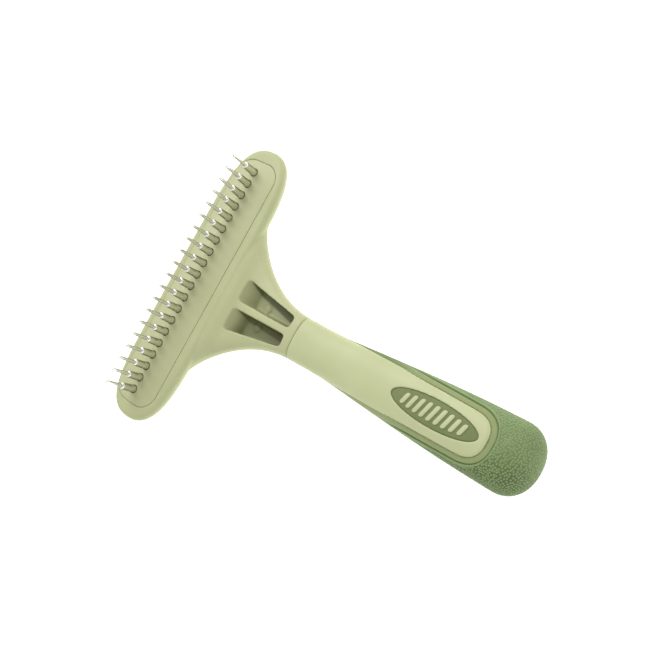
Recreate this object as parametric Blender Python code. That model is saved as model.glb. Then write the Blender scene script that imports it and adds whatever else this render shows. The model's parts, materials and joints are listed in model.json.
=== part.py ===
"""Dematting comb: a T-shaped plastic head with one row of stepped steel pins, on a rubber-gripped handle.

The tool lies on its back with the pins pointing up. +X runs from the head to the end of the handle, Y runs
along the head and +Z is up. The origin is under the middle of the tool, on the surface it lies on.
Lengths below are in millimetres, and x is measured from the row of pins.
"""

import math

import bmesh
import bpy
import numpy as np

MM = 0.001
GAP = 0.3

# Overall length
HEAD_FRONT = -11.4
HANDLE_END = 147.0
ROW_X = -(HEAD_FRONT + HANDLE_END) / 2

# Head bar
BAR_WIDTH = 27.4
BAR_LENGTH = 116.2
BAR_CENTRE = HEAD_FRONT + BAR_WIDTH / 2
BAR_TOP = 10.1
BAR_SQUARENESS = (2.35, 6.3)
TOP_RIM = 2.2
BACK_REACH = 6.2
BACK_SQUARENESS = 1.4
BAR_POINTS = 56

# Pin plate, let into a tray in the bar
PLATE_CENTRE = 1.5
PLATE_WIDTH = 19.0
PLATE_LENGTH = 104.9
PLATE_CORNER = 7.0
PLATE_TOP = 10.0
PLATE_BOTTOM = 5.9
TRAY_FLOOR = 5.6

# Pins
PIN_COUNT = 20
PIN_PITCH = 5.0
PIN_ROOT_RADIUS = 1.45
PIN_SHOULDER_RADIUS = 1.25
PIN_SHOULDER_HEIGHT = 7.4
PIN_SHOULDER_EDGE = ((1.0, 0.8), (0.86, 0.25))
PIN_STEM_RADIUS = 0.7
PIN_TIP_RADIUS = 0.55
PIN_HEIGHT = 16.0
PIN_HEAD_RADIUS = 2.0
PIN_HEAD_TOP = 7.2
PIN_HEAD_BOTTOM = 6.2
PIN_HOLE_RADIUS = 1.68
COUNTERBORE_RADIUS = 2.3
COUNTERBORE_TOP = 7.5
TURNED_SIDES = 12

# Web and neck, one circular sweep on each side
NECK_SEAM = 50.5
NECK_HALF_WIDTH = 8.3
FLARE_RADIUS = 42.0
FLARE_END = 51.7
FLARE_REACH = 40.2
WEB_START = 4.0

# Tang that carries the handle
TANG_START = 46.5
TANG_END = 92.0
TANG_CORNER = 1.0
TANG_HALF_WIDTH = 3.8
TANG_LOW = 4.0
TANG_HIGH = 8.0
DOWEL_X = 82.0
DOWEL_Z = 6.0
DOWEL_RADIUS = 1.2
DOWEL_HALF_LENGTH = 5.6
DOWEL_HOLE_REACH = 20.0

# Pockets in the top of the web, one on each side of a rib
POCKET_START = 20.3
POCKET_END = 46.8
POCKET_RIB_HALF = 1.35
POCKET_WIDE = 10.6
POCKET_NARROW = 6.0
POCKET_FLOOR = 1.5
POCKET_RAMP = 5.0
POCKET_DRAFT = 0.6
POCKET_LIP = 1.0
POCKET_CORNER = 1.5

# Handle
RUBBER_THICKNESS = 2.2
PANEL_FRONT = ((45.5, 11.3), (60.0, 9.3))
PANEL_START_HALF = 8.3
PANEL_REAR_HALF = 7.7
PANEL_TAPER_START = 68.0
PANEL_TAPER_END = 122.0
PANEL_END = 131.0
PANEL_UNDERSIDE = 5.6
SLEEVE_SIDE_START = 67.0
SLEEVE_BACK_START = 60.0
CAP_START = 137.0
CAP_SQUARENESS = 2.15
CAP_TIP_SHARE = 0.04
SECTION_POINTS = 28

# Oval badge recess on the panel
BADGE_X = 111.2
BADGE_HALF_LENGTH = 16.6
BADGE_HALF_WIDTH = 4.6
BADGE_DEPTH = 1.2
BADGE_RECESS = 0.2
BADGE_THICKNESS = 0.7
BADGE_POINTS = 32

# Where cutting forms begin and end, beyond the faces they cut
OVERCUT = 4.0
BLOCK_BOTTOM = -5.0
BLOCK_TOP = 30.0
BLOCK_HALF_WIDTH = 20.0
FRONT_BLOCK_START = 42.5
CORE_INNER_START = 44.5
GRIP_BORE_START = 48.5
SLEEVE_SPACE_START = 52.5
GRIP_FORM_START = 53.5
BADGE_FORM_START = 80.0
BADGE_FORM_BOTTOM = 10.0

# (x, value) rows of the smooth curves that the web, neck and handle follow
HALF_WIDTHS = ((51.7, 8.3), (66, 8.3), (84, 9.5), (105, 10.95), (125, 11.85), (137, 12.1))
UNDERSIDES = ((3, 2.6), (12, 1.4), (25, 0.4), (50, 0.6), (68, 0.9), (90, 1.0), (112, 0.5), (137, 0.0))
TOPS = ((3, 9.9), (14, 9.9), (17, 9.5), (21, 8.3), (25, 7.9), (32, 8.4), (41, 9.5), (50, 10.2))
TOPS += ((68, 11.2), (90, 14.1), (112, 17.0), (137, 19.4))
SQUARENESS = ((3, 5.0), (20, 4.5), (34, 3.4), (50, 2.5), (90, 2.35), (137, 2.3))

# Colours, as sRGB values from 0 to 255
HEAD_GREEN = (186, 191, 149)
PANEL_GREEN = (194, 199, 157)
RUBBER_GREEN = (132, 158, 108)
BADGE_OLIVE = (125, 137, 85)
STEEL_GREY = (200, 198, 190)


def metres(point):
    """A design point in millimetres as a place in the part's frame."""
    return ((point[0] + ROW_X) * MM, point[1] * MM, point[2] * MM)


def along(table, x):
    """Value at x of the smooth curve through a table's rows."""
    stations, values = (np.array(column, float) for column in zip(*table))
    x = min(max(x, stations[0]), stations[-1])
    slopes = np.gradient(values, stations)
    i = min(int(np.searchsorted(stations, x, side="right")) - 1, len(stations) - 2)
    step = stations[i + 1] - stations[i]
    t = (x - stations[i]) / step
    return (
        (2 * t**3 - 3 * t**2 + 1) * values[i]
        + (t**3 - 2 * t**2 + t) * step * slopes[i]
        + (3 * t**2 - 2 * t**3) * values[i + 1]
        + (t**3 - t**2) * step * slopes[i + 1]
    )


def signed_power(value, power):
    return math.copysign(abs(value) ** power, value)


def linear(colour):
    """An sRGB colour as linear RGBA."""
    channels = [(c / 255 / 12.92) if c < 11 else ((c / 255 + 0.055) / 1.055) ** 2.4 for c in colour]
    return (*channels, 1.0)


def material(name, colour, roughness, metallic=0.0):
    made = bpy.data.materials.new(name)
    made.use_nodes = True
    shader = made.node_tree.nodes["Principled BSDF"]
    shader.inputs["Base Color"].default_value = linear(colour)
    shader.inputs["Roughness"].default_value = roughness
    shader.inputs["Metallic"].default_value = metallic
    made.diffuse_color = linear(colour)
    return made


# Solids


def ring_mesh(name, groups):
    """A mesh of closed bodies, one for each group of rings, capped at both ends of each."""
    bm = bmesh.new()
    for rings in groups:
        loops = [[bm.verts.new(point) for point in ring] for ring in rings]
        for low, high in zip(loops, loops[1:]):
            for i in range(len(low)):
                j = (i + 1) % len(low)
                bm.faces.new((low[i], low[j], high[j], high[i]))
        bm.faces.new(loops[0])
        bm.faces.new(loops[-1])
    bmesh.ops.recalc_face_normals(bm, faces=bm.faces)
    mesh = bpy.data.meshes.new(name)
    bm.to_mesh(mesh)
    bm.free()
    mesh.shade_smooth()
    mesh.set_sharp_from_angle(angle=math.radians(35))
    return mesh


def solid(name, rings):
    placed = [[metres(point) for point in ring] for ring in rings]
    made = bpy.data.objects.new(name, ring_mesh(name, [placed]))
    bpy.context.scene.collection.objects.link(made)
    return made


def prism(name, outline, low, high):
    """An upright prism on a plan outline."""
    return solid(name, [[(x, y, z) for x, y in outline] for z in (low, high)])


def guide(made):
    """Marks a solid as a cutter, which isn't part of the tool."""
    made.hide_render = True
    made.display_type = "WIRE"
    return made


def combine(target, operation, *others):
    for other in others:
        step = target.modifiers.new(f"{operation.lower()}_{other.name}", "BOOLEAN")
        step.operation = operation
        step.object = other
    return target


# Outlines and sections


def superellipse(half_x, half_y, power_x, power_y, count):
    points = []
    for i in range(count):
        angle = 2 * math.pi * (i + 0.5) / count
        x = half_x * signed_power(math.cos(angle), 2 / power_x)
        y = half_y * signed_power(math.sin(angle), 2 / power_y)
        points.append((x, y))
    return points


def bar_outline(shrink):
    """Plan outline of the head bar, narrowed by shrink on every side."""
    half_x = BAR_WIDTH / 2 - shrink
    half_y = BAR_LENGTH / 2 - shrink
    return [(BAR_CENTRE + x, y) for x, y in superellipse(half_x, half_y, *BAR_SQUARENESS, BAR_POINTS)]


def plate_outline(extra):
    """Rounded rectangle of the pin plate, grown by extra all round."""
    corner = PLATE_CORNER + extra
    half_x = PLATE_WIDTH / 2 - PLATE_CORNER
    half_y = PLATE_LENGTH / 2 - PLATE_CORNER
    points = []
    for quarter, (side_x, side_y) in enumerate(((1, 1), (-1, 1), (-1, -1), (1, -1))):
        for step in range(7):
            angle = math.radians(90 * quarter + 15 * step)
            x = PLATE_CENTRE + side_x * half_x + corner * math.cos(angle)
            y = side_y * half_y + corner * math.sin(angle)
            points.append((x, y))
    return points


def pocket_outline(side, spread):
    """Rounded trapezoid of a pocket's mouth, shrunk by spread, on the side of the rib given by side."""
    inner = POCKET_RIB_HALF + spread
    start = POCKET_START + spread
    end = POCKET_END - spread
    corners = (
        (start, inner),
        (end, inner),
        (end, POCKET_NARROW - spread),
        (start, POCKET_WIDE - spread),
    )
    points = rounded(corners, POCKET_CORNER, 4)
    return [(x, side * y) for x, y in points]


def rounded(corners, radius, steps):
    """A polygon with its corners rounded by quadratic curves."""
    points = []
    for i, corner in enumerate(corners):
        legs = []
        for other in (corners[i - 1], corners[(i + 1) % len(corners)]):
            run = (other[0] - corner[0], other[1] - corner[1])
            length = math.hypot(*run)
            legs.append((corner[0] + radius * run[0] / length, corner[1] + radius * run[1] / length))
        for step in range(steps + 1):
            t = step / steps
            points.append(
                tuple(
                    (1 - t) ** 2 * legs[0][k] + 2 * t * (1 - t) * corner[k] + t**2 * legs[1][k]
                    for k in (0, 1)
                )
            )
    return points


def half_width(x):
    """Half the width of the web, neck and handle at x, before the end cap."""
    if x < FLARE_END:
        reach = min(FLARE_END - x, FLARE_REACH)
        return NECK_HALF_WIDTH + FLARE_RADIUS - math.sqrt(FLARE_RADIUS**2 - reach**2)
    return along(HALF_WIDTHS, x)


def section(x, skin):
    """Ring round the web, neck or handle at x, with a skin of the given thickness taken off."""
    end = HANDLE_END - skin
    cap = max(0.0, (x - CAP_START) / (end - CAP_START))
    shrink = (1 - min(cap, 1.0) ** CAP_SQUARENESS) ** (1 / CAP_SQUARENESS)
    shrink = max(shrink, CAP_TIP_SHARE)
    low = along(UNDERSIDES, x) + skin
    high = along(TOPS, x) - skin
    middle = (low + high) / 2
    power = along(SQUARENESS, x)
    outline = superellipse(1, 1, power, min(power, 2.5), SECTION_POINTS)
    width = (half_width(x) - skin) * shrink
    height = (high - low) / 2 * shrink
    return [(x, width * y, middle + height * z) for y, z in outline]


def body_stations(start, skin):
    """Stations along the handle, closer together round the end cap."""
    straight = np.linspace(start, CAP_START, max(2, round((CAP_START - start) / 5.5)))
    cap_length = HANDLE_END - skin - CAP_START
    cap = [CAP_START + cap_length * math.sin(math.radians(angle)) for angle in (22, 42, 60, 75, 90)]
    return [*straight, *cap]


def handle_form(name, start, skin):
    return solid(name, [section(x, skin) for x in body_stations(start, skin)])


# Head


def bar():
    """The head bar: a flat top with a rounded rim over a back shaped like a shallow hull."""
    back_height = BAR_TOP - TOP_RIM
    levels = []
    for angle in (0, 18, 36, 54, 72, 90):
        lean = math.radians(angle)
        across = BACK_REACH * signed_power(math.sin(lean), 2 / BACK_SQUARENESS)
        down = back_height * signed_power(math.cos(lean), 2 / BACK_SQUARENESS)
        levels.append((BACK_REACH - across, back_height - down))
    for angle in (30, 60, 90):
        lean = math.radians(angle)
        levels.append((TOP_RIM * (1 - math.cos(lean)), back_height + TOP_RIM * math.sin(lean)))
    return solid("head_frame", [[(x, y, z) for x, y in bar_outline(shrink)] for shrink, z in levels])


def web():
    stations = [WEB_START, *np.linspace(FLARE_END - FLARE_REACH, NECK_SEAM, 14)]
    return guide(solid("web_form", [section(x, 0) for x in stations]))


def tang(name, extra):
    low = TANG_LOW - extra
    high = TANG_HIGH + extra
    half = TANG_HALF_WIDTH + extra
    corners = ((-half, low), (half, low), (half, high), (-half, high))
    outline = rounded(corners, TANG_CORNER, 2)
    return guide(solid(name, [[(x, y, z) for y, z in outline] for x in (TANG_START, TANG_END + extra)]))


def cross_bar(name, radius, half_length):
    """A round bar along Y through the tang."""
    rings = []
    for y in (-half_length, half_length):
        ring = []
        for i in range(TURNED_SIDES):
            angle = 2 * math.pi * i / TURNED_SIDES
            ring.append((DOWEL_X + radius * math.cos(angle), y, DOWEL_Z + radius * math.sin(angle)))
        rings.append(ring)
    return solid(name, rings)


def pocket(side):
    """Cutter for one pocket: drafted walls, and a floor that starts after a ramp at the head end."""
    label = "left" if side > 0 else "right"
    deep = pocket_outline(side, POCKET_DRAFT)
    floor = []
    for x, y in deep:
        share = (x - POCKET_START) / (POCKET_END - POCKET_START)
        floor.append((x + POCKET_RAMP * max(0.0, 1 - 2 * share), y, POCKET_FLOOR))
    mouth = pocket_outline(side, 0)
    rings = [floor]
    lip = along(TOPS, POCKET_END) - POCKET_LIP
    rings += [[(x, y, z) for x, y in mouth] for z in (lip, BAR_TOP + OVERCUT)]
    return guide(solid(f"pocket_{label}_form", rings))


def head_frame():
    tray = guide(prism("tray_form", plate_outline(GAP), TRAY_FLOOR, BAR_TOP + OVERCUT))
    dowel_hole = guide(cross_bar("tang_hole_form", DOWEL_RADIUS + GAP, DOWEL_HALF_LENGTH))
    frame = bar()
    combine(frame, "UNION", web(), tang("tang_form", 0))
    combine(frame, "DIFFERENCE", tray, pocket(1), pocket(-1), dowel_hole)
    return frame


# Pins and their plate


def pin_places():
    first = -PIN_PITCH * (PIN_COUNT - 1) / 2
    return [first + PIN_PITCH * i for i in range(PIN_COUNT)]


def turned_rings(profile, x, y):
    """Rings of a turned shape about the upright line through (x, y)."""
    rings = []
    for radius, z in profile:
        ring = []
        for i in range(TURNED_SIDES):
            angle = 2 * math.pi * i / TURNED_SIDES
            ring.append((x + radius * math.cos(angle), y + radius * math.sin(angle), z))
        rings.append(ring)
    return rings


def pin_profile():
    """(radius, height over the bar's top) of a pin, from its head up to its rounded tip."""
    shoulder = PIN_SHOULDER_HEIGHT
    profile = [
        (PIN_HEAD_RADIUS, PIN_HEAD_BOTTOM - BAR_TOP),
        (PIN_HEAD_RADIUS, PIN_HEAD_TOP - BAR_TOP),
        (PIN_ROOT_RADIUS, PIN_HEAD_TOP - BAR_TOP),
        (PIN_ROOT_RADIUS, 0.0),
    ]
    profile += [(share * PIN_SHOULDER_RADIUS, shoulder - drop) for share, drop in PIN_SHOULDER_EDGE]
    profile.append((PIN_STEM_RADIUS, shoulder))
    for angle in (0, 30, 60, 84):
        lean = math.radians(angle)
        z = PIN_HEIGHT - PIN_TIP_RADIUS * (1 - math.sin(lean))
        profile.append((PIN_TIP_RADIUS * math.cos(lean), z))
    return profile


def pins():
    rings = turned_rings(pin_profile(), 0, 0)
    scaled = [[tuple(MM * c for c in point) for point in ring] for ring in rings]
    mesh = ring_mesh("stepped_pin", [scaled])
    made = []
    for number, y in enumerate(pin_places(), 1):
        pin = bpy.data.objects.new(f"pin_{number:02d}", mesh)
        pin.location = metres((0, y, BAR_TOP))
        bpy.context.scene.collection.objects.link(pin)
        made.append(pin)
    return made


def pin_plate():
    profile = (
        (COUNTERBORE_RADIUS, PLATE_BOTTOM - 1),
        (COUNTERBORE_RADIUS, COUNTERBORE_TOP),
        (PIN_HOLE_RADIUS, COUNTERBORE_TOP),
        (PIN_HOLE_RADIUS, PLATE_TOP + 1),
    )
    groups = []
    for y in pin_places():
        groups.append([[metres(p) for p in ring] for ring in turned_rings(profile, 0, y)])
    holes = bpy.data.objects.new("pin_holes_form", ring_mesh("pin_holes_form", groups))
    bpy.context.scene.collection.objects.link(holes)
    plate = prism("pin_plate", plate_outline(0), PLATE_BOTTOM, PLATE_TOP)
    return combine(plate, "DIFFERENCE", guide(holes))


# Handle


def panel_outline(extra):
    """Plan outline of the hard panel on top of the handle, grown by extra."""
    edge = [(x, y + extra) for x, y in PANEL_FRONT]
    edge.append((PANEL_TAPER_START, PANEL_START_HALF + extra))
    length = PANEL_END - PANEL_TAPER_END + extra
    for angle in range(0, 90, 15):
        lean = math.radians(angle)
        x = PANEL_TAPER_END + length * math.sin(lean) ** 0.8
        edge.append((x, (PANEL_REAR_HALF + extra) * math.cos(lean) ** 0.8))
    tip = [(PANEL_END + extra, 0)]
    return edge + tip + [(x, -y) for x, y in reversed(edge)]


def front_block(name, extra):
    """Block over the part of the handle ahead of the rubber, whose edge curves forward under the handle."""
    outline = [(FRONT_BLOCK_START, BLOCK_BOTTOM), (SLEEVE_BACK_START + extra, BLOCK_BOTTOM)]
    reach = SLEEVE_SIDE_START - SLEEVE_BACK_START
    for angle in range(0, 91, 15):
        lean = math.radians(angle)
        x = SLEEVE_BACK_START + extra + reach * (1 - math.cos(lean))
        outline.append((x, PANEL_UNDERSIDE * math.sin(lean)))
    outline += [(SLEEVE_SIDE_START + extra, BLOCK_TOP), (FRONT_BLOCK_START, BLOCK_TOP)]
    sides = (-BLOCK_HALF_WIDTH, BLOCK_HALF_WIDTH)
    return guide(solid(name, [[(x, y, z) for x, z in outline] for y in sides]))


def sleeve_space():
    """Cutter that takes the rubber's room off the handle's outer form."""
    start = SLEEVE_SPACE_START
    end = HANDLE_END + OVERCUT
    half = BLOCK_HALF_WIDTH
    corners = ((start, -half), (end, -half), (end, half), (start, half))
    space = guide(prism("sleeve_space_form", corners, BLOCK_BOTTOM, BLOCK_TOP))
    buried = guide(handle_form("core_inner_form", CORE_INNER_START, RUBBER_THICKNESS))
    panel = guide(prism("panel_form", panel_outline(0), PANEL_UNDERSIDE, BLOCK_TOP + 2))
    return combine(space, "DIFFERENCE", buried, panel, front_block("front_form", 0))


def badge_outline(shrink):
    points = superellipse(BADGE_HALF_LENGTH - shrink, BADGE_HALF_WIDTH - shrink, 2, 2, BADGE_POINTS)
    return [(BADGE_X + x, y) for x, y in points]


def handle_core():
    core = handle_form("handle_core", NECK_SEAM + GAP, 0)
    recess = guide(prism("badge_recess_form", badge_outline(0), BADGE_FORM_BOTTOM, BLOCK_TOP + 2))
    combine(recess, "DIFFERENCE", guide(handle_form("recess_floor_form", BADGE_FORM_START, BADGE_DEPTH)))
    socket = tang("tang_socket_form", GAP)
    dowel_hole = guide(cross_bar("core_hole_form", DOWEL_RADIUS + GAP, DOWEL_HOLE_REACH))
    return combine(core, "DIFFERENCE", sleeve_space(), socket, recess, dowel_hole)


def rubber_grip():
    grip = handle_form("rubber_grip", GRIP_FORM_START, 0)
    room = guide(handle_form("grip_bore_form", GRIP_BORE_START, RUBBER_THICKNESS - GAP))
    window = guide(prism("grip_window_form", panel_outline(GAP), PANEL_UNDERSIDE - GAP, BLOCK_TOP + 3))
    return combine(grip, "DIFFERENCE", room, window, front_block("grip_front_form", GAP))


def badge_inlay():
    inlay = prism("badge_inlay", badge_outline(GAP), BADGE_FORM_BOTTOM + 1, BLOCK_TOP + 1)
    top = guide(handle_form("badge_top_form", BADGE_FORM_START + 2, BADGE_RECESS))
    floor = guide(handle_form("badge_floor_form", BADGE_FORM_START + 1, BADGE_RECESS + BADGE_THICKNESS))
    combine(inlay, "INTERSECT", top)
    return combine(inlay, "DIFFERENCE", floor)


def main():
    for old in list(bpy.data.objects):
        bpy.data.objects.remove(old, do_unlink=True)
    head_plastic = material("head_plastic", HEAD_GREEN, 0.42)
    handle_plastic = material("handle_plastic", PANEL_GREEN, 0.40)
    grip_rubber = material("grip_rubber", RUBBER_GREEN, 0.75)
    badge_rubber = material("badge_rubber", BADGE_OLIVE, 0.60)
    pin_steel = material("pin_steel", STEEL_GREY, 0.20, metallic=1.0)
    dowel = cross_bar("tang_dowel", DOWEL_RADIUS, DOWEL_HALF_LENGTH)
    finishes = (
        (head_frame(), head_plastic),
        (pin_plate(), head_plastic),
        (handle_core(), handle_plastic),
        (rubber_grip(), grip_rubber),
        (badge_inlay(), badge_rubber),
        (dowel, pin_steel),
    )
    for piece, finish in finishes:
        piece.data.materials.append(finish)
    made_pins = pins()
    made_pins[0].data.materials.append(pin_steel)


main()
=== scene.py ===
import json
import math

import bmesh
import bpy
import numpy as np
from mathutils import Matrix, Vector
from mathutils.kdtree import KDTree

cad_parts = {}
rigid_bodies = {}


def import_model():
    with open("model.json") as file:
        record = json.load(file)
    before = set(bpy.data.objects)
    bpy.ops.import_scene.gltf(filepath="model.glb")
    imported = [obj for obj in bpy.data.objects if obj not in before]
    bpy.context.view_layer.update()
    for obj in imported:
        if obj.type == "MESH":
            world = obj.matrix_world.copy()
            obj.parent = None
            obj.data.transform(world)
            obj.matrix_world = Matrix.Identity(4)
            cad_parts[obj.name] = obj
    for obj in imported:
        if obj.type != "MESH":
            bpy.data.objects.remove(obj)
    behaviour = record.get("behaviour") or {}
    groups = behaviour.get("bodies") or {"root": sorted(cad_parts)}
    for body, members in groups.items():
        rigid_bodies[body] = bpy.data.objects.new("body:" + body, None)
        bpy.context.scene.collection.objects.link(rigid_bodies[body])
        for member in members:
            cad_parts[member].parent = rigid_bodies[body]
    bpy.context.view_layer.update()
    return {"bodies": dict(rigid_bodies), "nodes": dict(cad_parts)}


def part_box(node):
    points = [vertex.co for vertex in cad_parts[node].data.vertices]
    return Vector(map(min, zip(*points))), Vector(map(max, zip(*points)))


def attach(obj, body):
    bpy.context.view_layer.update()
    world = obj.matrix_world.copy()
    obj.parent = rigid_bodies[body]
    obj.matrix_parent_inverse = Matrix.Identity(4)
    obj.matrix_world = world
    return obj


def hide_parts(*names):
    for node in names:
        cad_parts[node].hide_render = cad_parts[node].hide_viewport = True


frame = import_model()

# The finished look of a dematting comb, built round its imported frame. Shapes are worked out in
# millimetres with x measured from the row of pins toward the handle's end, like the tool's own drawing.

MM = 0.001
rng = np.random.default_rng(11)

# Nothing lies lower than this, and forms that only cut run this far past the faces they cut
LOWEST = 0.005
OVERCUT = 4.0
BLOCK_BOTTOM = -5.0
BLOCK_TOP = 30.0
BLOCK_HALF_WIDTH = 20.0

# Places read from the frame
PIN_NODES = sorted(name for name in frame["nodes"] if name.startswith("pin_") and name != "pin_plate")
ROOT_BODY = next(name for name in frame["bodies"] if not name.startswith("turning"))
ROW_X = sum((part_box(PIN_NODES[0])[k].x for k in (0, 1))) / 2 / MM
PIN_TIP_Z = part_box(PIN_NODES[0])[1].z / MM
HEAD_LOW, HEAD_HIGH = (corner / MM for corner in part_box("head_frame"))
PLATE_LOW, PLATE_HIGH = (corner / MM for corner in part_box("pin_plate"))
HEAD_FRONT = HEAD_LOW.x - ROW_X
HANDLE_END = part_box("rubber_grip")[1].x / MM - ROW_X

# Head bar
BAR_WIDTH = 27.4
BAR_LENGTH = HEAD_HIGH.y - HEAD_LOW.y
BAR_CENTRE = HEAD_FRONT + BAR_WIDTH / 2
BAR_TOP = 10.1
BAR_SQUARENESS = (2.35, 6.3)
TOP_RIM = 2.2
BACK_REACH = 6.2
BACK_SQUARENESS = 1.4
BAR_POINTS = 220

# Pin plate and its tray
PLATE_WIDTH = PLATE_HIGH.x - PLATE_LOW.x
PLATE_LENGTH = PLATE_HIGH.y - PLATE_LOW.y
PLATE_CENTRE = 1.5
PLATE_CORNER = 7.0
PLATE_EDGE = 0.3
PLATE_FRONT_LAP = 0.3
TRAY_FLOOR = 5.6
TRAY_GAP = 0.07

# Pins
PIN_ROOT_RADIUS = 1.45
PIN_SHOULDER_RADIUS = 1.25
PIN_SHOULDER_HEIGHT = 7.4
PIN_SHOULDER_DOME = 0.75
PIN_STEM_RADIUS = 0.7
PIN_TIP_RADIUS = 0.55
PIN_HEIGHT = PIN_TIP_Z - BAR_TOP
PIN_HEAD_RADIUS = 2.0
PIN_HEAD_DEPTHS = (3.9, 2.9)
PIN_HEAD_EDGE = 0.15
PIN_SIDES = 40
PIN_HOLE_RADIUS = 1.6
PIN_HOLE_CHAMFER = 0.3
COUNTERBORE_RADIUS = 2.3
COUNTERBORE_TOP = 7.5

# Web and neck
NECK_SEAM = 50.5
SEAM_GAP = 0.12
NECK_HALF_WIDTH = 8.3
FLARE_RADIUS = 42.0
FLARE_END = 51.7
FLARE_REACH = 40.2
WEB_START = 4.0

# Pockets
POCKET_START = 20.3
POCKET_END = 46.8
POCKET_RIB_HALF = 1.35
POCKET_WIDE = 10.6
POCKET_NARROW = 6.0
POCKET_FLOOR = 1.5
POCKET_RAMP = 5.0
POCKET_DRAFT = 0.6
POCKET_LIP = 1.0
POCKET_CORNER = 1.6
BOSS_X = 30.5
BOSS_Y = 4.0
BOSS_RINGS = ((1.7, -1.0), (1.7, 0.35), (1.3, 0.6))

# Handle
RUBBER_THICKNESS = 2.2
GRIP_LAP = 0.45
GRIP_STEP = 0.05
PANEL_FRONT = ((45.5, 11.3), (60.0, 9.3))
PANEL_START_HALF = 8.3
PANEL_REAR_HALF = 7.7
PANEL_TAPER_START = 68.0
PANEL_TAPER_END = 122.0
PANEL_END = 131.0
PANEL_UNDERSIDE = 5.6
SLEEVE_SIDE_START = 67.0
SLEEVE_BACK_START = 60.0
CAP_START = 137.0
CAP_SQUARENESS = 2.15
CAP_TIP_SHARE = 0.02
SECTION_POINTS = 96
STATION_STEP = 2.0
FRONT_BLOCK_START = 42.5
BURIED_START = 44.5
BORE_START = 48.5
SLEEVE_SPACE_START = 52.5
SLEEVE_SPACE_END = HANDLE_END + 5
GRIP_START = 53.5
BAND_WIDTH = 1.8
BAND_DROP = 0.35
BAND_FADE = (88.0, 106.0)
GROOVE_DEPTH = 0.3
GROOVE_HALF_WIDTH = 0.17
PEBBLE_PITCH = 0.72
PEBBLE_DEPTH = 0.2
PEBBLE_FADE = (90.0, 108.0)
PLAIN_FADE = (108.0, 88.0)
FRONT_SIDE_DARK_FADE = (104.0, 86.0)

# Oval badge
BADGE_X = 111.2
BADGE_HALF_LENGTH = 16.6
BADGE_HALF_WIDTH = 4.6
BADGE_DEPTH = 1.2
BADGE_RECESS = 0.42
BADGE_POINTS = 96
BADGE_DOME = (0.45, 1.2, 2.2, 3.2, 4.0, 4.5)
RIBS_EACH_SIDE = 4
RIB_PITCH = 2.75
RIB_HALF_WIDTH = 0.8
RIB_REACH = 2.95
RIB_SLANT = 0.3
RIB_RINGS = ((0.0, 1.0), (0.0, 0.2), (0.08, 0.08), (0.24, 0.03))

# (x, value) rows of the smooth curves that the web, neck and handle follow
HALF_WIDTHS = ((51.7, 8.3), (66, 8.3), (84, 9.5), (105, 10.95), (125, 11.85), (137, 12.1))
UNDERSIDES = ((3, 2.6), (12, 1.4), (25, 0.4), (50, 0.6), (68, 0.9), (90, 1.0), (112, 0.5), (137, 0.0))
TOPS = ((3, 9.9), (14, 9.9), (17, 9.5), (21, 8.3), (25, 7.9), (32, 8.4), (41, 9.5), (50, 10.2))
TOPS += ((68, 11.2), (90, 14.1), (112, 17.0), (137, 19.4))
SQUARENESS = ((3, 5.0), (20, 4.5), (34, 3.4), (50, 2.5), (90, 2.35), (137, 2.3))

# Each light's name, place, diameter and power, in metres and watts
LIGHTS = (("key", (-0.5, 0.42, 0.66), 0.75, 4.4), ("fill", (0.45, -0.5, 0.6), 0.6, 0.5))
ROOM_STRENGTH = 0.67
FLOOR_GLOW = 0.7

# Voxel sizes of the remeshed pieces
HEAD_VOXEL = 0.36
CORE_VOXEL = 0.3
GRIP_VOXEL = 0.25


# Curves


def hermite(table, x):
    """Values at x of the smooth curve through a table's rows."""
    stations, values = (np.array(column, float) for column in zip(*table))
    x = np.clip(np.asarray(x, float), stations[0], stations[-1])
    slopes = np.gradient(values, stations)
    i = np.clip(np.searchsorted(stations, x, side="right") - 1, 0, len(stations) - 2)
    step = stations[i + 1] - stations[i]
    t = (x - stations[i]) / step
    return (
        (2 * t**3 - 3 * t**2 + 1) * values[i]
        + (t**3 - 2 * t**2 + t) * step * slopes[i]
        + (3 * t**2 - 2 * t**3) * values[i + 1]
        + (t**3 - t**2) * step * slopes[i + 1]
    )


def smoothstep(low, high, value):
    t = np.clip((value - low) / (high - low), 0, 1)
    return t * t * (3 - 2 * t)


def signed_power(value, power):
    return np.sign(value) * np.abs(value) ** power


def half_width(x):
    """Half the width of the web, neck and handle at x, before the end cap."""
    x = np.asarray(x, float)
    reach = np.clip(FLARE_END - x, 0, FLARE_REACH)
    flare = NECK_HALF_WIDTH + FLARE_RADIUS - np.sqrt(FLARE_RADIUS**2 - reach**2)
    return np.where(x < FLARE_END, flare, hermite(HALF_WIDTHS, x))


def cap_shrink(x, skin=0.0):
    cap = np.clip((np.asarray(x, float) - CAP_START) / (HANDLE_END - skin - CAP_START), 0, 1)
    return np.maximum((1 - cap**CAP_SQUARENESS) ** (1 / CAP_SQUARENESS), CAP_TIP_SHARE)


def section_facts(x, skin=0.0):
    """Half width, half height, middle height and the two powers of the section at x."""
    low = hermite(UNDERSIDES, x) + skin
    high = hermite(TOPS, x) - skin
    power = hermite(SQUARENESS, x)
    shrink = cap_shrink(x, skin)
    width = (half_width(x) - skin) * shrink
    height = (high - low) / 2 * shrink
    return width, height, (high + low) / 2, power, np.minimum(power, 2.5)


def top_height(x, y, skin=0.0):
    """Height of the handle's upper surface over the plan point (x, y)."""
    width, height, middle, across, up = section_facts(x, skin)
    share = np.clip(np.abs(y) / width, 0, 1)
    return middle + height * (1 - share**across) ** (1 / up)


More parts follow.
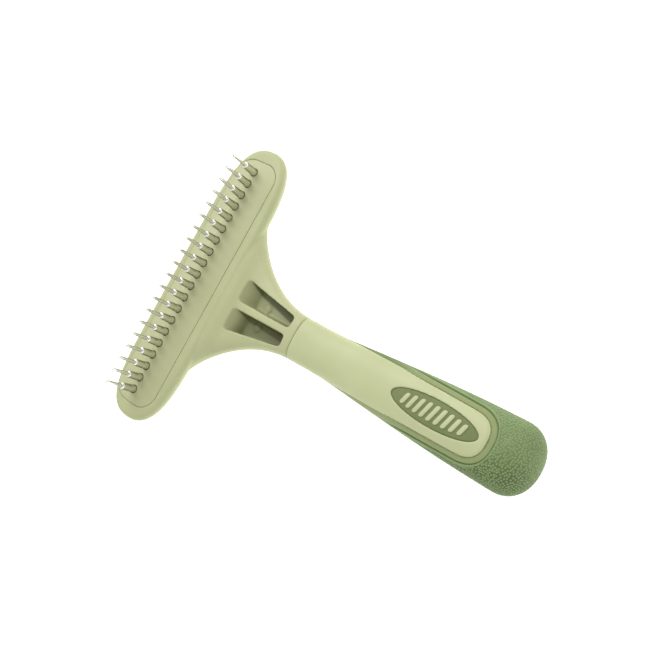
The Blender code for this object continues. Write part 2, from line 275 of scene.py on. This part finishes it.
def section(x, skin):
    """Ring round the web, neck or handle at x."""
    width, height, middle, across, up = (float(v) for v in section_facts(x, skin))
    angle = 2 * np.pi * (np.arange(SECTION_POINTS) + 0.5) / SECTION_POINTS
    y = width * signed_power(np.cos(angle), 2 / across)
    z = middle + height * signed_power(np.sin(angle), 2 / up)
    return np.column_stack([np.full(SECTION_POINTS, x), y, z])


# Outlines


def bar_outline(shrink):
    """Plan outline of the head bar, narrowed by shrink on every side."""
    angle = 2 * np.pi * (np.arange(BAR_POINTS) + 0.5) / BAR_POINTS
    x = BAR_CENTRE + (BAR_WIDTH / 2 - shrink) * signed_power(np.cos(angle), 2 / BAR_SQUARENESS[0])
    y = (BAR_LENGTH / 2 - shrink) * signed_power(np.sin(angle), 2 / BAR_SQUARENESS[1])
    return np.column_stack([x, y])


def plate_outline(extra, steps=14):
    """Rounded rectangle of the pin plate, grown by extra all round."""
    corner = PLATE_CORNER + extra
    half_x = PLATE_WIDTH / 2 - PLATE_CORNER
    half_y = PLATE_LENGTH / 2 - PLATE_CORNER
    points = []
    for quarter, (side_x, side_y) in enumerate(((1, 1), (-1, 1), (-1, -1), (1, -1))):
        for angle in np.radians(90 * quarter + np.linspace(0, 90, steps)):
            x = PLATE_CENTRE + side_x * half_x + corner * math.cos(angle)
            points.append((x, side_y * half_y + corner * math.sin(angle)))
    return np.array(points)


def rounded(corners, radius, steps=6):
    """A polygon with its corners rounded by quadratic curves."""
    corners = np.array(corners, float)
    points = []
    for i, corner in enumerate(corners):
        legs = []
        for other in (corners[i - 1], corners[(i + 1) % len(corners)]):
            run = other - corner
            legs.append(corner + radius * run / np.linalg.norm(run))
        for t in np.linspace(0, 1, steps):
            points.append((1 - t) ** 2 * legs[0] + 2 * t * (1 - t) * corner + t**2 * legs[1])
    return np.array(points)


def pocket_outline(side, spread):
    """Rounded trapezoid of a pocket's mouth, shrunk by spread, on the side of the rib given by side."""
    start = POCKET_START + spread
    end = POCKET_END - spread
    inner = POCKET_RIB_HALF + spread
    corners = ((start, inner), (end, inner), (end, POCKET_NARROW - spread), (start, POCKET_WIDE - spread))
    return rounded(corners, POCKET_CORNER) * (1, side)


def panel_outline(extra):
    """Plan outline of the hard panel on top of the handle, grown by extra."""
    edge = [(x, y + extra) for x, y in PANEL_FRONT]
    for x in np.linspace(PANEL_TAPER_START, PANEL_TAPER_END, 24, endpoint=False):
        share = (x - PANEL_TAPER_START) / (PANEL_TAPER_END - PANEL_TAPER_START)
        edge.append((x, PANEL_START_HALF + (PANEL_REAR_HALF - PANEL_START_HALF) * share**2.5 + extra))
    length = PANEL_END - PANEL_TAPER_END + extra
    for lean in np.radians(np.linspace(0, 90, 24, endpoint=False)):
        x = PANEL_TAPER_END + length * math.sin(lean) ** 0.8
        edge.append((x, (PANEL_REAR_HALF + extra) * math.cos(lean) ** 0.8))
    return np.array(edge + [(PANEL_END + extra, 0)] + [(x, -y) for x, y in reversed(edge)])


def distance_outside(outline, x, y):
    """Signed plan distance from a closed outline, positive outside it."""
    best = np.full(len(x), np.inf)
    inside = np.zeros(len(x), bool)
    for a, b in zip(outline, np.roll(outline, -1, axis=0)):
        run = b - a
        t = np.clip(((x - a[0]) * run[0] + (y - a[1]) * run[1]) / (run @ run + 1e-12), 0, 1)
        best = np.minimum(best, np.hypot(x - a[0] - t * run[0], y - a[1] - t * run[1]))
        crosses = (a[1] > y) != (b[1] > y)
        if a[1] != b[1]:
            inside ^= crosses & (x < a[0] + (y - a[1]) / (b[1] - a[1]) * run[0])
    return np.where(inside, -best, best)


# Meshes


def solid(name, rings):
    """An object with one closed body through rings of equal length."""
    count = len(rings[0])
    points = np.concatenate([np.asarray(ring, float) for ring in rings])
    points = (points + (ROW_X, 0, 0)) * MM
    faces = []
    for k in range(len(rings) - 1):
        low, high = k * count, (k + 1) * count
        for i in range(count):
            j = (i + 1) % count
            faces.append((low + i, low + j, high + j, high + i))
    faces.append(tuple(range(count)))
    faces.append(tuple(len(points) - count + i for i in range(count)))
    mesh = bpy.data.meshes.new(name)
    mesh.from_pydata(points.tolist(), [], faces)
    bm = bmesh.new()
    bm.from_mesh(mesh)
    bmesh.ops.recalc_face_normals(bm, faces=bm.faces)
    bm.to_mesh(mesh)
    bm.free()
    made = bpy.data.objects.new(name, mesh)
    bpy.context.scene.collection.objects.link(made)
    return made


def prism(name, outline, low, high):
    return solid(name, [[(x, y, z) for x, y in outline] for z in (low, high)])


def combine(target, operation, *others):
    for other in others:
        step = target.modifiers.new(other.name, "BOOLEAN")
        step.operation = operation
        step.object = other
    return target


def settle(target, helpers=(), voxel=None, smoothing=0):
    """Applies a piece's modifiers, a remesh and smoothing where asked, and removes its helpers."""
    if voxel:
        remesh = target.modifiers.new("even_mesh", "REMESH")
        remesh.mode = "VOXEL"
        remesh.voxel_size = voxel * MM
    if smoothing:
        smooth = target.modifiers.new("soft_edges", "SMOOTH")
        smooth.factor = 0.5
        smooth.iterations = smoothing
    made = bpy.data.meshes.new_from_object(target.evaluated_get(bpy.context.evaluated_depsgraph_get()))
    target.modifiers.clear()
    target.data = made
    for helper in helpers:
        bpy.data.objects.remove(helper, do_unlink=True)
    return target


def shade(target, angle=None):
    target.data.shade_smooth()
    if angle:
        target.data.set_sharp_from_angle(angle=math.radians(angle))


def read_points(target):
    """Vertices in drawing millimetres, and their normals."""
    count = len(target.data.vertices)
    points = np.empty(count * 3)
    normals = np.empty(count * 3)
    target.data.vertices.foreach_get("co", points)
    target.data.vertex_normals.foreach_get("vector", normals)
    return points.reshape(-1, 3) / MM - (ROW_X, 0, 0), normals.reshape(-1, 3)


def write_points(target, points):
    """Places the vertices, none of them lower than the surface the tool lies on."""
    points = np.column_stack([points[:, :2], np.maximum(points[:, 2], LOWEST)])
    target.data.vertices.foreach_set("co", ((points + (ROW_X, 0, 0)) * MM).ravel())
    target.data.update()


def paint(target, name, values):
    """Stores one number for each vertex, for the material to read."""
    layer = target.data.attributes.new(name, "FLOAT", "POINT")
    layer.data.foreach_set("value", np.ascontiguousarray(values, dtype=np.float32))


def finished(target, body, slot, finish, *replaced):
    target.data.materials.clear()
    target.data.materials.append(finish)
    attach(target, body)
    if replaced:
        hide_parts(*replaced)
    return target


# Materials


def linear(colour):
    channels = [(c / 255 / 12.92) if c < 11 else ((c / 255 + 0.055) / 1.055) ** 2.4 for c in colour]
    return (*channels, 1.0)


class Nodes:
    """A material's node tree, with short calls for the nodes these finishes use."""

    def __init__(self, name):
        self.material = bpy.data.materials.new(name)
        self.material.use_nodes = True
        self.tree = self.material.node_tree
        self.shader = self.tree.nodes["Principled BSDF"]
        self.place = self.tree.nodes.new("ShaderNodeTexCoord").outputs["Object"]

    def add(self, kind, **values):
        node = self.tree.nodes.new(kind)
        for key, value in values.items():
            if key in node.inputs:
                node.inputs[key].default_value = value
            else:
                setattr(node, key, value)
        return node

    def link(self, source, target):
        self.tree.links.new(source, target)

    def stretched(self, scale):
        node = self.add("ShaderNodeMapping")
        node.inputs["Scale"].default_value = scale
        self.link(self.place, node.inputs["Vector"])
        return node.outputs["Vector"]

    def noise(self, size_mm, detail=3.0, roughness=0.55, place=None):
        node = self.add("ShaderNodeTexNoise", Scale=1 / (size_mm * MM), Detail=detail, Roughness=roughness)
        self.link(place or self.place, node.inputs["Vector"])
        return node.outputs["Fac"]

    def painted(self, name):
        return self.add("ShaderNodeAttribute", attribute_name=name).outputs["Fac"]

    def spread(self, source, low, high, start=0.3, end=0.7):
        node = self.add("ShaderNodeMapRange")
        for key, value in (("From Min", start), ("From Max", end), ("To Min", low), ("To Max", high)):
            node.inputs[key].default_value = value
        self.link(source, node.inputs["Value"])
        return node.outputs["Result"]

    def between(self, low, high):
        """1 where the object's own z lies between two heights, and 0 elsewhere."""
        parts = self.add("ShaderNodeSeparateXYZ")
        self.link(self.place, parts.inputs[0])
        above = self.spread(parts.outputs["Z"], 0, 1, low, low + 0.3 * MM)
        below = self.spread(parts.outputs["Z"], 1, 0, high - 0.3 * MM, high)
        both = self.add("ShaderNodeMath", operation="MULTIPLY")
        self.link(above, both.inputs[0])
        self.link(below, both.inputs[1])
        return both.outputs["Value"]

    def fade(self, factor, low, high):
        """A number between low and high; low may be a socket."""
        node = self.add("ShaderNodeMix", data_type="FLOAT")
        self.link(factor, node.inputs[0])
        if isinstance(low, bpy.types.NodeSocket):
            self.link(low, node.inputs[2])
        else:
            node.inputs[2].default_value = low
        node.inputs[3].default_value = high
        return node.outputs[0]

    def blend(self, factor, low, high):
        node = self.add("ShaderNodeMix", data_type="RGBA")
        self.link(factor, node.inputs[0])
        for socket, colour in ((node.inputs[6], low), (node.inputs[7], high)):
            if isinstance(colour, bpy.types.NodeSocket):
                self.link(colour, socket)
            else:
                socket.default_value = linear(colour)
        return node.outputs[2]

    def bump(self, source, height_mm, under=None):
        node = self.add("ShaderNodeBump", Strength=1.0, Distance=height_mm * MM)
        self.link(source, node.inputs["Height"])
        if under:
            self.link(under, node.inputs["Normal"])
        return node.outputs["Normal"]

    def finish(self, colour, roughness, normal):
        self.link(colour, self.shader.inputs["Base Color"])
        self.link(roughness, self.shader.inputs["Roughness"])
        self.link(normal, self.shader.inputs["Normal"])
        return self.material


def plastic(name, light, dark, worn, deep=None):
    """Satin moulded plastic: slow colour drift, spark-eroded micro grain and paler handled edges."""
    n = Nodes(name)
    drift = n.spread(n.noise(14, 4), 0, 1)
    colour = n.blend(drift, dark, light)
    edges = n.add("ShaderNodeNewGeometry").outputs["Pointiness"]
    colour = n.blend(n.spread(edges, 0, 0.4, 0.52, 0.57), colour, worn)
    # deep is a painted shade colour, blended in where the vertices carry painted shade
    if deep:
        colour = n.blend(n.painted("painted_shade"), colour, deep)
    roughness = n.spread(n.noise(3.5, 5), 0.38, 0.52)
    grain = n.bump(n.noise(0.22, 2), 0.006)
    normal = n.bump(n.noise(5, 2), 0.02, grain)
    n.shader.inputs["Specular IOR Level"].default_value = 0.4
    return n.finish(colour, roughness, normal)


def rubber(name, light, dark, deep, grain_mm, grain_height, band=None):
    """Matte thermoplastic rubber: mottled green; with a band colour given, also a band tint and painted
    shade in its recesses, both read from the vertices.
    """
    n = Nodes(name)
    colour = n.blend(n.spread(n.noise(9, 4), 0, 1), dark, light)
    if band:
        colour = n.blend(n.painted("band"), colour, band)
        # Painted shade in the groove and between the pebbles, in the deep colour
        colour = n.blend(n.painted("painted_shade"), colour, deep)
    roughness = n.spread(n.noise(1.6, 4), 0.58, 0.78)
    normal = n.bump(n.noise(grain_mm, 3), grain_height)
    n.shader.inputs["Specular IOR Level"].default_value = 0.3
    n.shader.inputs["Sheen Weight"].default_value = 0.05
    n.shader.inputs["Sheen Roughness"].default_value = 0.5
    return n.finish(colour, roughness, normal)


def polished_steel(name):
    """Turned and polished stainless steel, with faint lathe rings round each pin."""
    n = Nodes(name)
    colour = n.blend(n.spread(n.noise(2.5, 3), 0, 1), (232, 231, 224), (246, 245, 240))
    rings = n.noise(0.3, 1, place=n.stretched((0.05, 0.05, 1.0)))
    satin = n.between(PIN_SHOULDER_HEIGHT * MM, (PIN_HEIGHT - PIN_TIP_RADIUS) * MM)
    polish = n.spread(rings, 0.06, 0.12)
    n.link(n.fade(satin, 0.96, 0.84), n.shader.inputs["Metallic"])
    # A near-black edge tint darkens the pins' grazing reflections: painted dark outlines
    n.shader.inputs["Specular Tint"].default_value = (0.02, 0.02, 0.01, 1.0)
    return n.finish(colour, n.fade(satin, polish, 0.22), n.bump(rings, 0.0002))


# Head


def bar():
    """The head bar: a flat top with a rounded rim over a back shaped like a shallow hull."""
    back_height = BAR_TOP - TOP_RIM
    levels = []
    for lean in np.radians(np.linspace(0, 90, 20)):
        across = BACK_REACH * signed_power(math.sin(lean), 2 / BACK_SQUARENESS)
        down = back_height * signed_power(math.cos(lean), 2 / BACK_SQUARENESS)
        levels.append((BACK_REACH - across, back_height - down))
    for lean in np.radians(np.linspace(9, 90, 10)):
        levels.append((TOP_RIM * (1 - math.cos(lean)), back_height + TOP_RIM * math.sin(lean)))
    rings = []
    for shrink, z in levels:
        ring = bar_outline(shrink)
        rings.append(np.column_stack([ring, np.full(len(ring), z)]))
    return solid("head_shell", rings)


def pocket(side):
    """Cutter for one pocket: drafted walls, and a floor that starts after a ramp at the head end."""
    deep = pocket_outline(side, POCKET_DRAFT)
    share = (deep[:, 0] - POCKET_START) / (POCKET_END - POCKET_START)
    ramp = POCKET_RAMP * np.clip(1 - 2 * share, 0, None)
    floor = np.column_stack([deep[:, 0] + ramp, deep[:, 1], np.full(len(deep), POCKET_FLOOR)])
    mouth = pocket_outline(side, 0)
    rings = [floor]
    for z in (float(hermite(TOPS, POCKET_END)) - POCKET_LIP, BAR_TOP + OVERCUT):
        rings.append(np.column_stack([mouth, np.full(len(mouth), z)]))
    return solid(f"pocket_{'left' if side > 0 else 'right'}", rings)


def floor_boss(side):
    """Round moulding mark on a pocket's floor."""
    profile = [(radius, POCKET_FLOOR + rise) for radius, rise in BOSS_RINGS]
    return solid(f"floor_boss_{side}", turned(profile, BOSS_X, side * BOSS_Y, 24))


def pocket_painted_shadow(points):
    """How dark the painted shadow is at each point of the pockets: darkest along the foot of each +Y wall,
    where its shadow falls, and over the deeper floors.
    """
    x, y = points[:, 0], points[:, 1]
    depth = hermite(TOPS, x) - points[:, 2]
    share = (x - POCKET_START) / (POCKET_END - POCKET_START)
    outer_wall = POCKET_WIDE + (POCKET_NARROW - POCKET_WIDE) * share
    dark = np.zeros(len(points))
    for side, wall, floor in ((1, outer_wall, 0.15), (-1, -POCKET_RIB_HALF, 0.65)):
        reach = 0.45 * depth
        foot = smoothstep(reach + 0.3, reach - 0.7, wall - y) * smoothstep(0.3, 1.5, depth)
        level = np.maximum(foot, floor * smoothstep(1.5, 6.0, depth))
        outside = distance_outside(pocket_outline(side, 0), x, y)
        dark = np.maximum(dark, level * smoothstep(0.3, 0.0, outside))
    return dark


def head_shell():
    shell = bar()
    web_stations = [WEB_START, *np.linspace(FLARE_END - FLARE_REACH, NECK_SEAM, 60)]
    web = solid("web", [section(x, 0) for x in web_stations])
    tray = prism("tray", plate_outline(TRAY_GAP), TRAY_FLOOR, BAR_TOP + OVERCUT)
    pockets = [pocket(side) for side in (1, -1)]
    bosses = [floor_boss(side) for side in (1, -1)]
    combine(shell, "UNION", web)
    combine(shell, "DIFFERENCE", tray, *pockets)
    combine(shell, "UNION", *bosses)
    settle(shell, (web, tray, *pockets, *bosses), HEAD_VOXEL, 4)
    points, normals = read_points(shell)
    # Painted shadow in the pockets, which the head's plastic darkens with its deep colour
    paint(shell, "painted_shade", pocket_painted_shadow(points))
    write_points(shell, points)
    shade(shell)
    return shell


# Pins and their plate


def turned(profile, x, y, sides):
    angle = np.linspace(0, 2 * np.pi, sides, endpoint=False)
    rings = []
    for radius, z in profile:
        ring = [x + radius * np.cos(angle), y + radius * np.sin(angle), np.full(sides, z)]
        rings.append(np.column_stack(ring))
    return rings


def pin_profile():
    """(radius, height over the bar's top) of a pin, from its head up to its rounded tip."""
    bottom, top = (-depth for depth in PIN_HEAD_DEPTHS)
    profile = [
        (0.3, bottom),
        (PIN_HEAD_RADIUS - PIN_HEAD_EDGE, bottom),
        (PIN_HEAD_RADIUS, bottom + PIN_HEAD_EDGE),
        (PIN_HEAD_RADIUS, top - 0.1),
        (PIN_HEAD_RADIUS - 0.1, top),
        (PIN_ROOT_RADIUS, top),
    ]
    shoulder_start = PIN_SHOULDER_HEIGHT - PIN_SHOULDER_DOME
    for share in np.linspace(0, 1, 7):
        radius = PIN_ROOT_RADIUS + (PIN_SHOULDER_RADIUS - PIN_ROOT_RADIUS) * share**1.3
        profile.append((radius, shoulder_start * share))
    drop = PIN_SHOULDER_RADIUS - PIN_STEM_RADIUS
    for lean in np.radians(np.linspace(15, 90, 7)):
        z = shoulder_start + PIN_SHOULDER_DOME * math.sin(lean)
        profile.append((PIN_STEM_RADIUS + drop * math.cos(lean), z))
    neck_top = PIN_HEIGHT - PIN_TIP_RADIUS
    for share in np.linspace(0.03, 1, 8):
        radius = PIN_STEM_RADIUS + (PIN_TIP_RADIUS - PIN_STEM_RADIUS) * share
        profile.append((radius, PIN_SHOULDER_HEIGHT + (neck_top - PIN_SHOULDER_HEIGHT) * share))
    for lean in np.radians((15, 30, 45, 60, 75, 87)):
        profile.append((PIN_TIP_RADIUS * math.cos(lean), neck_top + PIN_TIP_RADIUS * math.sin(lean)))
    return profile


def pins(finish):
    shape = solid("pin_shape", turned(pin_profile(), -ROW_X, 0, PIN_SIDES))
    shade(shape, 40)
    for name in PIN_NODES:
        low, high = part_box(name)
        pin = bpy.data.objects.new(f"turned_{name}", shape.data)
        pin.location = ((low.x + high.x) / 2, (low.y + high.y) / 2, BAR_TOP * MM)
        bpy.context.scene.collection.objects.link(pin)
        bpy.context.view_layer.update()
        finished(pin, f"turning_{name}", "pin_steel", finish, name)
    bpy.data.objects.remove(shape)


def pin_plate():
    """The plate with a soft outer edge and a chamfered hole round every pin."""
    top, bottom = PLATE_HIGH.z, PLATE_LOW.z
    bevel = 0.3 * PLATE_EDGE
    levels = ((0.0, bottom), (0.0, top - PLATE_EDGE), (bevel, top - bevel), (PLATE_EDGE, top))
    rings = []
    for distance, z in levels:
        ring = plate_outline(-distance)
        front = smoothstep(PLATE_CENTRE - 5, PLATE_CENTRE - PLATE_WIDTH / 2, ring[:, 0])
        ring[:, 0] -= (PLATE_FRONT_LAP + 0.9 * distance) * front
        rings.append(np.column_stack([ring, np.full(len(ring), z)]))
    plate = solid("drilled_pin_plate", rings)
    hole = (
        (COUNTERBORE_RADIUS, bottom - 1),
        (COUNTERBORE_RADIUS, COUNTERBORE_TOP),
        (PIN_HOLE_RADIUS, COUNTERBORE_TOP),
        (PIN_HOLE_RADIUS, top - 0.18),
        (PIN_HOLE_RADIUS + PIN_HOLE_CHAMFER, top + 0.12),
        (PIN_HOLE_RADIUS + PIN_HOLE_CHAMFER, top + 1),
    )
    cutters = []
    for name in PIN_NODES:
        low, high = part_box(name)
        cutters.append(solid(f"hole_{name}", turned(hole, 0, (low.y + high.y) / 2 / MM, 40)))
    combine(plate, "DIFFERENCE", *cutters)
    settle(plate, cutters)
    shade(plate, 28)
    return plate


# Handle


def stations(start, skin):
    straight = np.linspace(start, CAP_START, round((CAP_START - start) / STATION_STEP))
    cap = CAP_START + (HANDLE_END - skin - CAP_START) * np.sin(np.radians(np.linspace(4, 90, 26)))
    return [*straight, *cap]


def handle_form(name, start, skin):
    return solid(name, [section(x, skin) for x in stations(start, skin)])


def front_block():
    """Block over the part of the handle ahead of the rubber, whose edge curves forward under the handle."""
    outline = [(FRONT_BLOCK_START, BLOCK_BOTTOM), (SLEEVE_BACK_START, BLOCK_BOTTOM)]
    reach = SLEEVE_SIDE_START - SLEEVE_BACK_START
    for lean in np.radians(np.linspace(0, 90, 20)):
        x = SLEEVE_BACK_START + reach * (1 - math.cos(lean))
        outline.append((x, PANEL_UNDERSIDE * math.sin(lean)))
    outline += [(SLEEVE_SIDE_START, BLOCK_TOP), (FRONT_BLOCK_START, BLOCK_TOP)]
    sides = (-BLOCK_HALF_WIDTH, BLOCK_HALF_WIDTH)
    return solid("front", [[(x, y, z) for x, z in outline] for y in sides])


def badge_ring(shrink, depth):
    """Ring on the panel's surface, sunk by depth, shrunk from the badge's oval."""
    angle = np.linspace(0, 2 * np.pi, BADGE_POINTS, endpoint=False)
    x = BADGE_X + (BADGE_HALF_LENGTH - shrink) * np.cos(angle)
    y = max(BADGE_HALF_WIDTH - shrink, 0.02) * np.sin(angle)
    return np.column_stack([x, y, top_height(x, y) - depth])


def handle_core():
    core = handle_form("handle_panel", NECK_SEAM + SEAM_GAP, 0)
    ends = (SLEEVE_SPACE_START, SLEEVE_SPACE_END, SLEEVE_SPACE_END, SLEEVE_SPACE_START)
    half = BLOCK_HALF_WIDTH
    space = prism("sleeve_space", list(zip(ends, (-half, -half, half, half))), BLOCK_BOTTOM, BLOCK_TOP)
    buried = handle_form("buried", BURIED_START, RUBBER_THICKNESS)
    panel = prism("panel", panel_outline(0), PANEL_UNDERSIDE, BLOCK_TOP + 2)
    front = front_block()
    recess = solid("recess", [badge_ring(0, BADGE_DEPTH), badge_ring(0, -6)])
    combine(space, "DIFFERENCE", buried, panel, front)
    combine(core, "DIFFERENCE", space, recess)
    settle(core, (space, buried, panel, front, recess), CORE_VOXEL, 1)
    soften_panel_edge(core)
    shade(core)
    return core


def upper_share(points):
    """How far up the handle's upper half each point is, from 0 at mid-height to 1."""
    width, height, middle, across, up = section_facts(points[:, 0])
    return smoothstep(0.0, 0.25, (points[:, 2] - middle) / height)


def on_outer_skin(points):
    """1 on the handle's outer surface and 0 on the surfaces inside it."""
    width, height, middle, across, up = section_facts(points[:, 0])
    level = np.abs(points[:, 1] / width) ** across + np.abs((points[:, 2] - middle) / height) ** up
    at_end = smoothstep(HANDLE_END - 1.6, HANDLE_END - 0.9, points[:, 0])
    return np.maximum(smoothstep(0.8, 0.92, level), at_end)


def band_room(x):
    """1 where there is room for the band between panel and side, and 0 where the panel reaches the side."""
    return smoothstep(*BAND_FADE, x)


def soften_panel_edge(core):
    """Rolls the panel's edge down to the level of the band round it."""
    points, normals = read_points(core)
    outside = distance_outside(panel_outline(0), points[:, 0], points[:, 1])
    roll = BAND_DROP * smoothstep(-1.5, 0.1, outside) * smoothstep(1.2, 0.3, outside)
    share = roll * upper_share(points) * on_outer_skin(points) * band_room(points[:, 0])
    write_points(core, points - normals * share[:, None])


def spaced_out(points, spacing):
    """Picks points in random order, each at least spacing from the ones before it."""
    taken = {}
    steps = [(i, j, k) for i in (-1, 0, 1) for j in (-1, 0, 1) for k in (-1, 0, 1)]
    for x, y, z in points[rng.permutation(len(points))].tolist():
        a, b, c = int(x // spacing), int(y // spacing), int(z // spacing)
        close = False
        for i, j, k in steps:
            for p, q, r in taken.get((a + i, b + j, c + k), ()):
                if (x - p) ** 2 + (y - q) ** 2 + (z - r) ** 2 < spacing**2:
                    close = True
                    break
            if close:
                break
        if not close:
            taken.setdefault((a, b, c), []).append((x, y, z))
    return [place for places in taken.values() for place in places]


def pebbles(points, wanted):
    """Rounded pebbles over the wanted points: 1 at their tops and 0 between them."""
    tops = spaced_out(points[wanted], PEBBLE_PITCH)
    tree = KDTree(len(tops))
    for i, top in enumerate(tops):
        tree.insert(top, i)
    tree.balance()
    height = np.zeros(len(points))
    gaps = np.array([tree.find(point)[2] for point in points[wanted].tolist()])
    height[wanted] = smoothstep(PEBBLE_PITCH * 0.62, PEBBLE_PITCH * 0.18, gaps)
    return height


def shape_grip(grip):
    """Sinks the band and its groove, and raises the pebbles on the end, sides and back of the rubber."""
    points, normals = read_points(grip)
    outside = distance_outside(panel_outline(0), points[:, 0], points[:, 1])
    skin = on_outer_skin(points)
    upper = upper_share(points)
    room = upper * band_room(points[:, 0])
    band = BAND_DROP * smoothstep(BAND_WIDTH + 0.45, BAND_WIDTH + 0.05, outside)
    lap = GRIP_STEP * smoothstep(0.3, 0.1, outside) * upper
    groove = np.exp(-(((outside - BAND_WIDTH - 0.15) / GROOVE_HALF_WIDTH) ** 2))
    plain = smoothstep(BAND_WIDTH + 1.0, BAND_WIDTH + 0.4, outside) * upper
    pebbled = (1 - plain) * smoothstep(*PEBBLE_FADE, points[:, 0])
    between = 1 - pebbles(points, (pebbled > 0) & (skin > 0.5))
    depth = (band + GROOVE_DEPTH * groove) * room + lap + PEBBLE_DEPTH * between * pebbled
    smooth = smoothstep(BAND_WIDTH + 0.3, BAND_WIDTH, outside) * room
    paint(grip, "band", np.maximum(smooth, smoothstep(*PLAIN_FADE, points[:, 0])) * skin)
    # Painted shade between the pebbles, heavier toward -Y, and in the groove; the front of the grip's +Y
    # side is also painted darker
    pebble_gap_shade = between * pebbled * (0.45 + 0.4 * smoothstep(4, -8, points[:, 1]))
    front_side_dark = 0.55 * smoothstep(*FRONT_SIDE_DARK_FADE, points[:, 0]) * smoothstep(0, 5, points[:, 1])
    paint(grip, "painted_shade", np.clip(groove * room + pebble_gap_shade + front_side_dark, 0, 1) * skin)
    write_points(grip, points - normals * (depth * skin)[:, None])


def rubber_grip():
    grip = handle_form("pebbled_grip", GRIP_START, 0)
    bore = handle_form("bore", BORE_START, RUBBER_THICKNESS)
    window = prism("window", panel_outline(-GRIP_LAP), PANEL_UNDERSIDE, BLOCK_TOP + 3)
    front = front_block()
    combine(grip, "DIFFERENCE", bore, window, front)
    settle(grip, (bore, window, front), GRIP_VOXEL, 1)
    shape_grip(grip)
    shade(grip)
    return grip


# Badge


def badge():
    """Oval inlay with a soft edge, a little below the panel."""
    rings = [badge_ring(0.12, BADGE_DEPTH - 0.15)]
    rings += [badge_ring(0.12, BADGE_RECESS + 0.25), badge_ring(0.2, BADGE_RECESS + 0.08)]
    rings += [badge_ring(shrink, BADGE_RECESS) for shrink in BADGE_DOME]
    inlay = solid("oval_inlay", rings)
    shade(inlay, 50)
    return inlay


def badge_ribs():
    """Plain slanted thumb ribs that stand in the oval, in the panel's plastic."""
    made = []
    for k in range(-RIBS_EACH_SIDE, RIBS_EACH_SIDE + 1):
        reach = RIB_REACH * math.sqrt(1 - (k / 5.6) ** 2)
        rings = []
        for shrink, depth in RIB_RINGS:
            ring = []
            for end in (1, -1):
                for lean in np.radians(np.linspace(0, 180, 12)):
                    turn = lean + (0 if end > 0 else math.pi)
                    across = (RIB_HALF_WIDTH - shrink) * math.cos(turn)
                    along_y = end * (reach - RIB_HALF_WIDTH) + (RIB_HALF_WIDTH - shrink) * math.sin(turn)
                    ring.append((BADGE_X + RIB_PITCH * k + across + RIB_SLANT * along_y, along_y))
            ring = np.array(ring)
            rings.append(np.column_stack([ring, top_height(ring[:, 0], ring[:, 1]) - depth]))
        made.append(solid(f"rib_{k}", rings))
    first = made[0]
    combine(first, "UNION", *made[1:])
    settle(first, made[1:])
    first.name = "badge_ribs"
    shade(first, 45)
    return first


# Stage


def studio():
    """A lit white floor, even surroundings, a large soft key and a weak fill."""
    bpy.ops.mesh.primitive_plane_add(size=6, location=(0, 0, -0.0003))
    floor = bpy.context.object
    floor.name = "floor"
    n = Nodes("floor_white")
    colour = n.blend(n.spread(n.noise(60, 3), 0, 1), (250, 250, 250), (253, 253, 253))
    n.shader.inputs["Emission Color"].default_value = (1, 1, 1, 1)
    n.shader.inputs["Emission Strength"].default_value = FLOOR_GLOW
    n.finish(colour, n.spread(n.noise(20, 3), 0.7, 0.8), n.bump(n.noise(4, 2), 0.01))
    floor.data.materials.append(n.material)
    room()
    for name, place, size, power in LIGHTS:
        light = bpy.data.lights.new(name, "AREA")
        light.shape = "DISK"
        light.size = size
        light.energy = power
        lamp = bpy.data.objects.new(name, light)
        lamp.location = place
        lamp.rotation_euler = (-Vector(place)).to_track_quat("-Z", "Y").to_euler()
        bpy.context.scene.collection.objects.link(lamp)


def room():
    """Even white surroundings."""
    world = bpy.context.scene.world or bpy.data.worlds.new("studio")
    bpy.context.scene.world = world
    world.use_nodes = True
    back = world.node_tree.nodes["Background"]
    back.inputs["Color"].default_value = (1.0, 1.0, 1.0, 1.0)
    back.inputs["Strength"].default_value = ROOM_STRENGTH


def camera():
    """Looks down on the comb from beyond the handle, turned so that the head is at the upper left."""
    forward = Vector((-0.470, 0.024, -0.882)).normalized()
    right = forward.cross(Vector((-0.4166, 0.8753, 0.2457))).normalized()
    up = right.cross(forward)
    eye = Vector((ROW_X + 189.4, 2.05, BAR_TOP + 244.7)) + 0.27 * right - 0.27 * up
    eye *= MM
    data = bpy.data.cameras.new("camera")
    data.lens = 44.0
    data.sensor_width = 36.0
    data.clip_start = 0.01
    cam = bpy.data.objects.new("camera", data)
    cam.matrix_world = Matrix.Translation(eye) @ Matrix((right, up, -forward)).transposed().to_4x4()
    bpy.context.scene.collection.objects.link(cam)
    bpy.context.scene.camera = cam


def main():
    bpy.context.scene.view_settings.view_transform = "Standard"
    camera()
    studio()
    # The last colour of head_finish and of grip_colours is a painted shade colour for the pockets, groove
    # and pebble gaps
    head_finish = plastic("head_plastic", (188, 192, 146), (182, 186, 140), (202, 206, 164), (104, 108, 66))
    panel_finish = plastic("handle_plastic", (196, 201, 155), (190, 195, 148), (208, 212, 172))
    grip_colours = ((150, 170, 119), (140, 159, 108), (72, 94, 46))
    grip_finish = rubber("grip_rubber", *grip_colours, 0.3, 0.012, (146, 158, 106))
    badge_finish = rubber("badge_rubber", (125, 136, 88), (118, 129, 82), (96, 106, 62), 0.4, 0.006)
    steel = polished_steel("pin_steel")
    finished(head_shell(), ROOT_BODY, "head_plastic", head_finish, "head_frame")
    finished(pin_plate(), ROOT_BODY, "head_plastic", head_finish, "pin_plate")
    finished(handle_core(), ROOT_BODY, "handle_plastic", panel_finish, "handle_core")
    finished(rubber_grip(), ROOT_BODY, "grip_rubber", grip_finish, "rubber_grip")
    finished(badge(), ROOT_BODY, "badge_rubber", badge_finish, "badge_inlay")
    finished(badge_ribs(), ROOT_BODY, "handle_plastic", panel_finish)
    pins(steel)
    dowel = frame["nodes"]["tang_dowel"]
    dowel.data.materials.clear()
    dowel.data.materials.append(steel)


main()
bpy.context.view_layer.update()
